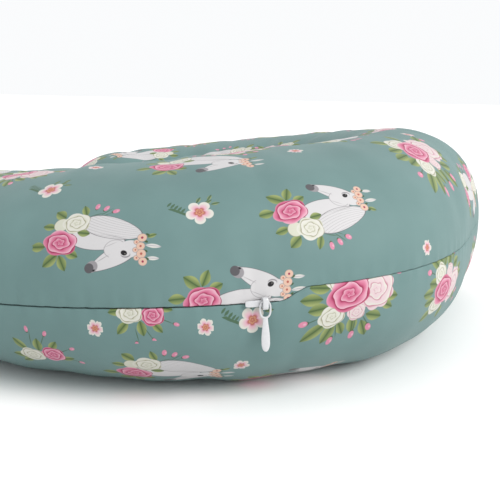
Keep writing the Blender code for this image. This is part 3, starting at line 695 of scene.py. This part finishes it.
for step in range(7):
    near, far = change_places(step, (HORSE, 1), (BOUQUET, -1))
    BOTTOM_MOTIFS.append((near[0], 6 + 23 * step, 30, near[1], 1))
    BOTTOM_MOTIFS.append((far[0], 12 + 23 * step, 176, far[1], 1))
    BOTTOM_MOTIFS.append((BLOSSOM, 17 + 23 * step, 14, 1, 1))
BOTTOM_MOTIFS += [(BOUQUET, 168, 34, 1, 1), (PAIR, -168, 32, 1, 1.1)]


def motif_coordinates(points, columns, faces, motifs, side):
    """For each face, the motif that it lies under and its corners' place in that motif, in millimetres:
    the corner's offset from the motif's centre along the two tangents there. A face belongs to the
    motif that is nearest as a share of its reach, or to none. Past a tip's turn, which is 149 degrees,
    each further degree stands for two round the tip."""
    past_tip = np.degrees(np.arcsin(cover_rows[1][:, 0])) / 2
    turn = np.degrees(cover_rows[0][:, 0]) + np.sign(cover_rows[0][:, 0]) * past_tip
    outside = points[:, :columns]
    step = np.linalg.norm(np.diff(outside, axis=1), axis=2)
    up = np.concatenate([np.zeros((len(turn), 1)), np.cumsum(step, axis=1)], axis=1)
    up = (up - up[:, EDGE_COLUMNS:EDGE_COLUMNS + 1]) / MM
    corners = points.reshape(-1, 3)[faces]
    best = np.ones(len(faces))
    kind = np.zeros(len(faces), int)
    place = np.full((len(faces), 4, 2), OFF_THE_PRINT)
    for motif, at_turn, at_up, mirror, scale in motifs:
        row = np.abs(turn - at_turn).argmin()
        column = np.abs(up[row] - at_up).argmin()
        centre = outside[row, column]
        x_axis = outside[row + 2, column] - outside[row - 2, column]
        x_axis /= np.linalg.norm(x_axis)
        y_axis = outside[row, max(column - 2, 0)] - outside[row, min(column + 2, columns - 1)]
        y_axis = (y_axis - x_axis * (y_axis @ x_axis)) * side
        y_axis /= np.linalg.norm(y_axis)
        offset = (corners - centre) / (MM * scale)
        distance = np.linalg.norm(offset, axis=2).max(axis=1) / REACH[motif]
        mine = distance < best
        best[mine] = distance[mine]
        kind[mine] = motif
        near = offset[mine]
        place[mine] = np.stack([near @ x_axis, near @ y_axis * mirror], axis=-1)
    return kind, place


def add_cover_panel(name, node, side, motifs):
    """One printed panel, on the upper side at 1 or the lower side at -1, with its two UV maps."""
    points, columns = cover_points(side)
    mesh, faces = shell_mesh(name, points, arc_lengths(points, columns))
    kind, place = motif_coordinates(points, columns, faces, motifs, side)
    layer = mesh.uv_layers.new(name="motif")
    layer.data.foreach_set("uv", place.astype(np.float32).ravel())
    for made in PRINTS:
        mesh.materials.append(made)
    mesh.polygons.foreach_set("material_index", kind)
    if side < 0:
        mesh.flip_normals()
    piece = add_piece(name, mesh)
    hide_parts(node)


add_cover_panel("cover_top", "cover_top_panel", 1, TOP_MOTIFS)
add_cover_panel("cover_bottom", "cover_bottom_panel", -1, BOTTOM_MOTIFS)


# The overlocked band: spun polyester thread that whips the turned-in edges of the two panels together.
# It runs all round the seam except along the zipper, and is seen only inside the cover.
WAVES_PER_SCALE = 0.314


def thread_finish(name, colour, roughness, pitch, bump_depth):
    """Spun or drawn thread: ridges across a stripe pattern, a little colour variation, and a bump."""
    finish = Finish(name, {"Roughness": roughness, "Specular IOR Level": 0.35})
    place = finish.object_place()
    darker = tuple(0.86 * value for value in colour[:3]) + (1.0,)
    colours = finish.ramp(finish.noise(place, 240, 4), [(0.3, darker), (0.7, colour)])
    finish.tree.links.new(colours, finish.surface.inputs["Base Color"])
    ridges = finish.tree.nodes.new("ShaderNodeTexWave")
    ridges.bands_direction = "DIAGONAL"
    ridges.inputs["Scale"].default_value = WAVES_PER_SCALE / pitch
    ridges.inputs["Distortion"].default_value = 0.6
    finish.tree.links.new(place, ridges.inputs["Vector"])
    finish.bump(ridges.outputs["Fac"], 0.6, bump_depth)
    return finish.made


def refinish(node, made):
    """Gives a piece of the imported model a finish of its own."""
    piece = frame["nodes"][node]
    piece.data.materials.clear()
    piece.data.materials.append(made)


overlock_finish = thread_finish("overlock_thread", ink(142, 170, 168), 0.8, 0.7 * MM, 0.2 * MM)
refinish("seam_overlock", overlock_finish)


# The inner cushion: a plain white casing of two panels, sewn shut round a fill of polyester fibre. It
# slides into the cover through the zipper, and its seams stand clear of the zipper's channel.
CASING_SETBACK = 8.6 * MM
CASING_DROP = 2.2 * MM
CASING_CLOTH = 0.8 * MM
CASING_GAP = 0.15 * MM
CASING_FLOOR = 1.35 * MM
FILL_TOUCH = 0.35 * MM
inner_rows = pillow_rows(300, 20)


def add_casing_panel(name, node, side, made):
    """The cover's own section drawn in, there and back, with the cover's hollows repeated."""
    out, back = np.linspace(0, 180, 60), np.linspace(180, 0, 30)
    give = cloth_give(inner_rows[0], out[None, :], side)
    give_back = cloth_give(inner_rows[0], back[None, :], side)
    outside = pillow_point(inner_rows, out, side, CASING_SETBACK + give, CASING_GAP,
                           CASING_DROP + give, CASING_FLOOR)
    inside = pillow_point(inner_rows, back, side, CASING_SETBACK + CASING_CLOTH + give_back,
                          CASING_GAP + CASING_CLOTH, CASING_DROP + 2 * CASING_CLOTH + give_back,
                          CASING_FLOOR + CASING_CLOTH)
    mesh, _ = shell_mesh(name, np.concatenate([outside, inside], axis=1))
    if side < 0:
        mesh.flip_normals()
    mesh.materials.append(made)
    piece = add_piece(name, mesh)
    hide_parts(node)


def add_fill(made):
    """One closed body inside the casing, with the tufts of the fibre pressed into its surface."""
    over, under = np.linspace(0, 180, 60), np.linspace(180, 0, 60)[1:-1]
    tufts = 0.5 * MM * (1 + ripples(inner_rows[0] + 0.06 * np.sin(over * 0.3), 9 * MM, 2.0))
    halves = []
    for side, degrees in ((1, over), (-1, under)):
        tuft = tufts[:, 1:-1] if side < 0 else tufts
        give = cloth_give(inner_rows[0], degrees[None, :], side) + tuft
        inset = CASING_SETBACK + CASING_CLOTH + FILL_TOUCH + give
        drop = CASING_DROP + 2 * CASING_CLOTH + FILL_TOUCH + give
        halves.append(pillow_point(inner_rows, degrees, side, inset, CASING_GAP + CASING_CLOTH, drop,
                                   CASING_FLOOR + CASING_CLOTH + FILL_TOUCH))
    mesh, _ = shell_mesh("fibre_fill_tufted", np.concatenate(halves, axis=1))
    mesh.materials.append(made)
    piece = add_piece("fibre_fill_tufted", mesh)
    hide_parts("fibre_fill")


casing_finish = thread_finish("white_casing_cloth", ink(232, 232, 228), 0.85, 0.4 * MM, 0.08 * MM)
add_casing_panel("casing_top", "casing_top_panel", 1, casing_finish)
add_casing_panel("casing_bottom", "casing_bottom_panel", -1, casing_finish)
add_fill(thread_finish("polyester_fibre", ink(238, 238, 234), 0.95, 2.2 * MM, 0.6 * MM))


# The zipper: woven polyester tapes sewn inside the cover's two edges, each with a nylon coil along it,
# and moulded stops at both ends. The coils lie behind the edges, which hide them when it is shut.
TAPE_FROM_ANGLE, TAPE_TO_ANGLE = math.radians(56.49), math.radians(121.49)
COIL_FROM_ANGLE, COIL_TO_ANGLE = math.radians(57.48), math.radians(120.5)
COIL_SLOT = 0.65 * MM
TAPE_INSET = 1.35 * MM
TAPE_THICKNESS = 0.45 * MM
TAPE_SECTION = 10
COIL_INSET = 3.15 * MM
COIL_WIRE = 0.28 * MM
COIL_WINDING = 0.70 * MM
COIL_CENTRE = 1.65 * MM
COIL_PITCH = 1.3 * MM


def zip_point(angle, outward, up):
    """On the arc round the left arm's centre: its radius plus outward, at the angle, and up the seam."""
    reach = zip_radius + outward
    local = np.broadcast_arrays(-arm_centre_x - reach * np.sin(angle), -reach * np.cos(angle), up)
    return np.stack(local, axis=-1) @ np.array(seam_axes).T + np.array(seam_origin)


def strip_mesh(name, points, capped=True):
    """A tube over rows of rings: each row's last column joins its first, and both ends are closed."""
    rows, columns = points.shape[:2]
    index = np.arange(rows * columns).reshape(rows, columns)
    right = np.roll(index, -1, axis=1)
    faces = np.stack([index[:-1], right[:-1], right[1:], index[1:]], axis=-1).reshape(-1, 4).tolist()
    if capped:
        faces += [index[0, ::-1].tolist(), index[-1].tolist()]
    mesh = bpy.data.meshes.new(name)
    mesh.from_pydata(points.reshape(-1, 3), [], faces)
    return mesh


def face_out(mesh):
    """Turns all faces when the closed mesh holds a negative volume."""
    count = len(mesh.vertices)
    points = np.empty(count * 3)
    mesh.vertices.foreach_get("co", points)
    points = points.reshape(-1, 3)
    mesh.calc_loop_triangles()
    corners = np.empty(len(mesh.loop_triangles) * 3, np.int32)
    mesh.loop_triangles.foreach_get("vertices", corners)
    a, b, c = points[corners.reshape(-1, 3)].transpose(1, 0, 2)
    if np.einsum("ij,ij->i", a, np.cross(b, c)).sum() < 0:
        mesh.flip_normals()


def add_tape(side, word, made):
    """A ribbon that follows the cover's section from its edge up to TAPE_SECTION degrees."""
    turn = -np.linspace(TAPE_TO_ANGLE, TAPE_FROM_ANGLE, 240)[:, None]
    rows = turn, np.zeros_like(turn), np.ones_like(turn)
    out, back = np.linspace(0, TAPE_SECTION, 10), np.linspace(TAPE_SECTION, 0, 10)
    out_give, back_give = cloth_give(turn, out[None, :], side), cloth_give(turn, back[None, :], side)
    front = pillow_point(rows, out, side, TAPE_INSET + out_give, COIL_SLOT, out_give)
    behind = pillow_point(rows, back, side, TAPE_INSET + TAPE_THICKNESS + back_give, COIL_SLOT, back_give)
    mesh = strip_mesh("zipper_tape_woven_" + word, np.concatenate([front, behind], axis=1))
    face_out(mesh)
    mesh.materials.append(made)
    piece = add_piece("zipper_tape_woven_" + word, mesh, smooth=False)
    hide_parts("zipper_tape_" + word)


def add_coil(side, word, made):
    """A wire of round section wound at COIL_WINDING about a line that runs behind the tape's edge."""
    length = (COIL_TO_ANGLE - COIL_FROM_ANGLE) * zip_radius - 2 * COIL_WIRE
    turns = int(length / COIL_PITCH)
    phase = np.linspace(0, turns * math.tau, turns * 12 + 1)[:, None]
    start = COIL_FROM_ANGLE + COIL_WIRE / zip_radius
    angle = start + phase / (turns * math.tau) * length / zip_radius
    ring = np.linspace(0, math.tau, 6, endpoint=False)[None, :]
    radius = COIL_WINDING + COIL_WIRE * np.cos(ring)
    angle = angle + COIL_WIRE * np.sin(ring) / zip_radius
    up = side * (COIL_CENTRE + radius * np.sin(phase))
    points = zip_point(angle, -COIL_INSET + radius * np.cos(phase), up)
    mesh = strip_mesh("zipper_coil_wound_" + word, points)
    face_out(mesh)
    mesh.materials.append(made)
    piece = add_piece("zipper_coil_wound_" + word, mesh)
    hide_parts("zipper_coil_" + word)


tape_finish = thread_finish("woven_zipper_tape", ink(204, 208, 208), 0.8, 0.5 * MM, 0.12 * MM)
coil_finish = thread_finish("coil_nylon", ink(214, 216, 218), 0.4, 0.9 * MM, 0.01 * MM)
for side, word in ((1, "upper"), (-1, "lower")):
    add_tape(side, word, tape_finish)
    add_coil(side, word, coil_finish)
for node in ("top_stop_upper", "top_stop_lower", "bottom_stop"):
    refinish(node, coil_finish)


# The slider: die-cast zinc in white enamel. Its channel runs on the coils behind the edges, a thin neck
# passes between them, and outside are the front plate and the crown, an arch that holds the pull.
SLIDER_HALF = 6.5
FRONT_MIDDLE, FRONT_HALF_DEPTH, FRONT_HALF_HEIGHT = 0.8, 0.4, 1.9
CROWN_AT, CROWN_HALF, CROWN_HALF_HEIGHT, CROWN_BAR, CROWN_TOP = -4.7, 1.8, 3.65, 0.9, 4.22
NECK_MIDDLE, NECK_HALF = -2.1, (5.2, 3.0, 0.25)
BACK_MIDDLE, BACK_HALF_DEPTH, BACK_HALF_HEIGHT = -4.95, 0.4, 3.85
FLANGE_MIDDLE, FLANGE_UP, FLANGE_HALF_DEPTH, FLANGE_HALF_HEIGHT = -3.78, 3.45, 1.57, 0.4
BLOCK_ROUNDING = 2 / 5
BAR_ROUNDING = 0.6
slider_outward = seam_axes @ Vector((-math.sin(SLIDER_ANGLE), -math.cos(SLIDER_ANGLE), 0))
slider_along = slider_outward.cross(seam_up)
slider_centre = Vector(zip_point(SLIDER_ANGLE, 0.0, 0.0))


def placed(points, axes, origin):
    """Millimetres along three axes, as world metres."""
    return points * MM @ np.array([list(axis) for axis in axes]) + np.array(origin)


def rounded_block(centre, half):
    """A superellipsoid: each half size times the sines and cosines of two turns, raised to 2 over 5."""
    over = np.linspace(-math.pi / 2, math.pi / 2, 25)[:, None]
    turn = np.linspace(0, math.tau, 48, endpoint=False)[None, :]
    level = signed_power(np.cos(over), BLOCK_ROUNDING)
    shape = (level * signed_power(np.cos(turn), BLOCK_ROUNDING),
             level * signed_power(np.sin(turn), BLOCK_ROUNDING),
             signed_power(np.sin(over), BLOCK_ROUNDING) * np.ones_like(turn))
    return np.stack(shape, axis=-1) * np.array(half) + np.array(centre)


def bar_along(path, sides, half_wide, half_thick, wide_axis, closed=False):
    """A bar with a rounded section carried along a path: its width lies on an axis, and its thickness
    on the cross product of that axis and the path's direction."""
    if closed:
        tangent = np.roll(path, -1, axis=0) - np.roll(path, 1, axis=0)
    else:
        tangent = np.gradient(path, axis=0)
    tangent /= np.linalg.norm(tangent, axis=1, keepdims=True)
    wide = np.array(wide_axis, float)
    thick = np.cross(wide, tangent)
    turn = np.linspace(0, math.tau, sides, endpoint=False)[None, :, None]
    across = signed_power(np.cos(turn), BAR_ROUNDING) * half_wide * wide
    through = signed_power(np.sin(turn), BAR_ROUNDING) * half_thick * thick[:, None]
    return path[:, None] + (across + through)


def join_pieces(name, meshes, made, node, body):
    """Several closed skins as one piece."""
    joined = bpy.data.meshes.new(name)
    points, faces, start = [], [], 0
    for mesh in meshes:
        face_out(mesh)
        points += [vertex.co[:] for vertex in mesh.vertices]
        faces += [[start + corner for corner in face.vertices] for face in mesh.polygons]
        start += len(mesh.vertices)
    joined.from_pydata(points, [], faces)
    joined.materials.append(made)
    piece = add_piece(name, joined, body)
    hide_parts(node)


enamel = Finish("white_enamel", {"Coat Weight": 0.35, "Coat Roughness": 0.2})
pits = enamel.noise(enamel.object_place(), 900, 3)
enamel_tones = enamel.ramp(pits, [(0.3, ink(228, 229, 232)), (0.7, ink(236, 237, 239))])
enamel.tree.links.new(enamel_tones, enamel.surface.inputs["Base Color"])
enamel_gloss = enamel.maths("MULTIPLY_ADD", pits, 0.25, 0.2)
enamel.tree.links.new(enamel_gloss, enamel.surface.inputs["Roughness"])
enamel.bump(pits, 0.08, 0.03 * MM)

slider_axes = slider_along, slider_outward, seam_up
slider_blocks = [
    ((0, FRONT_MIDDLE, 0), (SLIDER_HALF, FRONT_HALF_DEPTH, FRONT_HALF_HEIGHT)),
    ((CROWN_AT, FRONT_MIDDLE, 0), (CROWN_HALF, FRONT_HALF_DEPTH, CROWN_HALF_HEIGHT)),
    ((0, NECK_MIDDLE, 0), NECK_HALF),
    ((0, BACK_MIDDLE, 0), (SLIDER_HALF, BACK_HALF_DEPTH, BACK_HALF_HEIGHT)),
    ((0, FLANGE_MIDDLE, FLANGE_UP), (SLIDER_HALF, FLANGE_HALF_DEPTH, FLANGE_HALF_HEIGHT)),
    ((0, FLANGE_MIDDLE, -FLANGE_UP), (SLIDER_HALF, FLANGE_HALF_DEPTH, FLANGE_HALF_HEIGHT)),
]
slider_skins = [strip_mesh("block", placed(rounded_block(*block), slider_axes, slider_centre), False)
                for block in slider_blocks]
arch_turn = np.linspace(0, math.pi, 41)
arch_reach = CROWN_HALF_HEIGHT - CROWN_BAR / 2
arch = np.stack([np.full(41, CROWN_AT),
                 FRONT_MIDDLE + (CROWN_TOP - CROWN_BAR / 2 - FRONT_MIDDLE) * np.sin(arch_turn) ** 0.5,
                 -arch_reach * signed_power(np.cos(arch_turn), 0.5)], axis=-1)
arch_bar = bar_along(arch, 16, CROWN_HALF - 0.15, CROWN_BAR / 2, (1, 0, 0))
slider_skins.append(strip_mesh("arch", placed(arch_bar, slider_axes, slider_centre)))
join_pieces("zipper_slider", slider_skins, enamel.made, "slider_body", "slider")


# The pull: one flat piece of the same white enamelled metal, a long ring under the crown and a leaf
# with a soft ridge down its middle, free to swing on the ring.
RING_HALF_WIDE, RING_MIDDLE, RING_HALF_LONG, RING_BAR, PULL_THICKNESS = 3.02, -4.9, 4.9, 1.1, 0.9
RING_ROUNDING = 0.82
LEAF_TOP, LEAF_LENGTH, LEAF_HALF_WIDTH, LEAF_NECK = -10.65, 19.0, 2.5, 1.45
LEAF_INTO_RING, LEAF_PAST_TIP = 0.9, 0.45
LEAF_WIDEST, LEAF_TIP_FROM, LEAF_EDGE = 0.62, 0.74, 0.8
pull_outward = Vector((0, 0, 1)).cross(slider_along).normalized()
pull_axes = slider_along, pull_outward, slider_along.cross(pull_outward)
pull_origin = Vector(joints["pull_swing"]["pos_m"])
ring_turn = np.linspace(0, math.tau, 72, endpoint=False)
ring_path = np.stack([RING_HALF_WIDE * signed_power(np.cos(ring_turn), RING_ROUNDING),
                      np.zeros(72),
                      RING_MIDDLE + RING_HALF_LONG * signed_power(np.sin(ring_turn), RING_ROUNDING)],
                     axis=-1)
ring_bar = bar_along(ring_path, 14, PULL_THICKNESS / 2, RING_BAR / 2, (0, 1, 0), closed=True)
ring_bar = np.concatenate([ring_bar, ring_bar[:1]])
leaf_share = np.linspace(0, 1, 60)[:, None]
leaf_swell = LEAF_NECK + (LEAF_HALF_WIDTH - LEAF_NECK) * ease(leaf_share / LEAF_WIDEST)
leaf_tip = np.clip((leaf_share - LEAF_TIP_FROM) / (1 - LEAF_TIP_FROM), 0, 1)
leaf_width = leaf_swell * np.sqrt(1 - leaf_tip ** 2)
leaf_turn = np.linspace(0, math.tau, 32, endpoint=False)[None, :]
leaf_ridge = 0.45 + 0.55 * np.sqrt(np.abs(np.sin(leaf_turn)))
leaf_thick = PULL_THICKNESS / 2 * np.minimum(1, leaf_width / LEAF_EDGE) * leaf_ridge
leaf_down = LEAF_TOP + LEAF_INTO_RING - (LEAF_INTO_RING + LEAF_LENGTH + LEAF_PAST_TIP) * leaf_share
leaf = np.stack(np.broadcast_arrays(leaf_width * np.cos(leaf_turn), leaf_thick * np.sin(leaf_turn),
                                    leaf_down), axis=-1)
pull_skins = [strip_mesh("ring", placed(ring_bar, pull_axes, pull_origin), False),
              strip_mesh("leaf", placed(leaf, pull_axes, pull_origin))]
join_pieces("zipper_pull", pull_skins, enamel.made, "pull_tab", "pull")
